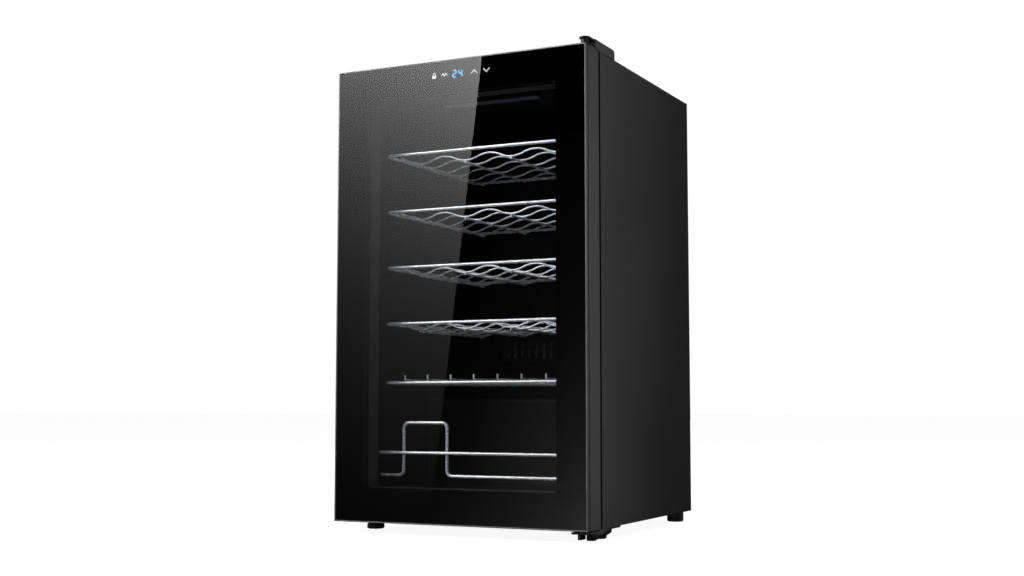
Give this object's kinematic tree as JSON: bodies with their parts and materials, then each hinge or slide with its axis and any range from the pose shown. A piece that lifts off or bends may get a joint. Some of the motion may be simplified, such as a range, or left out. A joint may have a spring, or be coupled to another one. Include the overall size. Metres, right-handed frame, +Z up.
{
  "type": "wine cooler",
  "caption": "Free-standing wine cooler: hinged double-glazed door with touch display, black cabinet, sliding wire bottle shelves, interior lamp and compressor bay.",
  "frame": {"origin": "on the floor, under the middle of the width and depth", "axes": "+X to the right seen from the front (the door is hinged on +X), +Y back, +Z up"},
  "size_m": [0.43, 0.48, 0.745],
  "materials": {
    "cabinet_paint": "dark grey powder coat, satin",
    "rear_sheet": "black coated sheet",
    "zinc_sheet": "galvanised sheet",
    "foam": "rigid foam",
    "liner_plastic": "black moulded plastic",
    "fan_plastic": "black moulded plastic",
    "lens_plastic": "opal diffuser over white lamps",
    "evaporator_aluminium": "mill finish",
    "rack_chrome": "bright plated wire",
    "hinge_paint": "black coated steel",
    "pin_steel": "turned steel",
    "screw_steel": "blackened zinc-plated steel",
    "hinge_cover_plastic": "fine-textured plastic",
    "foot_plastic": "black plastic",
    "compressor_paint": "black enamel",
    "grommet_rubber": "soft rubber",
    "service_plastic": "moulded plastic",
    "tray_plastic": "pale moulded plastic",
    "condenser_paint": "black enamel on steel",
    "copper": "drawn copper",
    "door_plastic": "dark grey satin plastic",
    "front_glass": "tinted tempered pane",
    "rear_glass": "clear pane",
    "border_print": "opaque black print",
    "edge_trim": "dark satin edging",
    "spacer_bar": "black anodised",
    "gasket_rubber": "soft vinyl",
    "magnet_strip": "flexible magnet",
    "circuit_board": "solder mask",
    "digit_light": "lit blue digits",
    "symbol_light": "lit white marks",
    "bush_plastic": "acetal"
  },
  "bodies": {
    "cabinet": {"outer_wrapper": "cabinet_paint", "front_strip": "cabinet_paint", "rear_panel": "rear_sheet", "base_pan": "zinc_sheet", "bay_panel": "zinc_sheet", "hinge_nut_plates": "zinc_sheet", "insulation_foam": "foam", "inner_liner": "liner_plastic", "evaporator_cover": "liner_plastic", "temperature_probe": "liner_plastic", "light_housing": "liner_plastic", "fan_frame": "fan_plastic", "light_lens": "lens_plastic", "evaporator_plate": "evaporator_aluminium", "evaporator_tube": "evaporator_aluminium", "bottle_guard": "rack_chrome", "top_hinge_bracket": "hinge_paint", "bottom_hinge_bracket": "hinge_paint", "hinge_pins": "pin_steel", "hinge_screws": "screw_steel", "rear_panel_screws": "screw_steel", "foot_nuts": "screw_steel", "compressor_bolts": "screw_steel", "top_hinge_cover": "hinge_cover_plastic", "rear_feet": "foot_plastic", "compressor_shell": "compressor_paint", "compressor_grommets": "grommet_rubber", "cord_gland": "grommet_rubber", "relay_cover": "service_plastic", "control_box": "service_plastic", "wall_spacers": "service_plastic", "condenser_brackets": "service_plastic", "drip_tray": "tray_plastic", "drain_tube": "tray_plastic", "condenser_tube": "condenser_paint", "condenser_wires": "condenser_paint", "refrigerant_lines": "copper", "filter_drier": "copper", "capillary_tube": "copper"},
    "door": {"door_frame": "door_plastic", "door_foam": "foam", "door_trim": "edge_trim", "outer_glass": "front_glass", "glass_border": "border_print", "glass_spacer": "spacer_bar", "inner_glass": "rear_glass", "door_gasket": "gasket_rubber", "gasket_magnets": "magnet_strip", "touch_board": "circuit_board", "display_digits": "digit_light", "touch_symbols": "symbol_light", "door_bushes": "bush_plastic"},
    "fan": {"fan_rotor": "fan_plastic"},
    "left_foot": {"left_front_foot": "foot_plastic"},
    "right_foot": {"right_front_foot": "foot_plastic"},
    "shelf_1": {"wire_shelf_1": "rack_chrome"},
    "shelf_2": {"wire_shelf_2": "rack_chrome"},
    "shelf_3": {"wire_shelf_3": "rack_chrome"},
    "shelf_4": {"wire_shelf_4": "rack_chrome"},
    "shelf_5": {"wire_shelf_5": "rack_chrome"}
  },
  "joints": [
    {"name": "door_hinge", "type": "hinge", "parent": "cabinet", "child": "door", "pos_m": [0.203, -0.215, 0.373], "axis": [0, 0, 1], "range_deg": [0, 120]},
    {"name": "fan_spin", "type": "hinge", "parent": "cabinet", "child": "fan", "pos_m": [0, 0.1535, 0.59], "axis": [0, 1, 0], "continuous": true},
    {"name": "left_foot_turn", "type": "hinge", "parent": "cabinet", "child": "left_foot", "pos_m": [-0.193, -0.152, 0.02], "axis": [0, 0, 1], "range_deg": [0, 1080]},
    {"name": "right_foot_turn", "type": "hinge", "parent": "cabinet", "child": "right_foot", "pos_m": [0.193, -0.152, 0.02], "axis": [0, 0, 1], "range_deg": [0, 1080]},
    {"name": "shelf_1_slide", "type": "slide", "parent": "cabinet", "child": "shelf_1", "axis": [0, -1, 0], "range_m": [0, 0.03]},
    {"name": "shelf_2_slide", "type": "slide", "parent": "cabinet", "child": "shelf_2", "axis": [0, -1, 0], "range_m": [0, 0.03]},
    {"name": "shelf_3_slide", "type": "slide", "parent": "cabinet", "child": "shelf_3", "axis": [0, -1, 0], "range_m": [0, 0.03]},
    {"name": "shelf_4_slide", "type": "slide", "parent": "cabinet", "child": "shelf_4", "axis": [0, -1, 0], "range_m": [0, 0.03]},
    {"name": "shelf_5_slide", "type": "slide", "parent": "cabinet", "child": "shelf_5", "axis": [0, -1, 0], "range_m": [0, 0.03]}
  ]
}
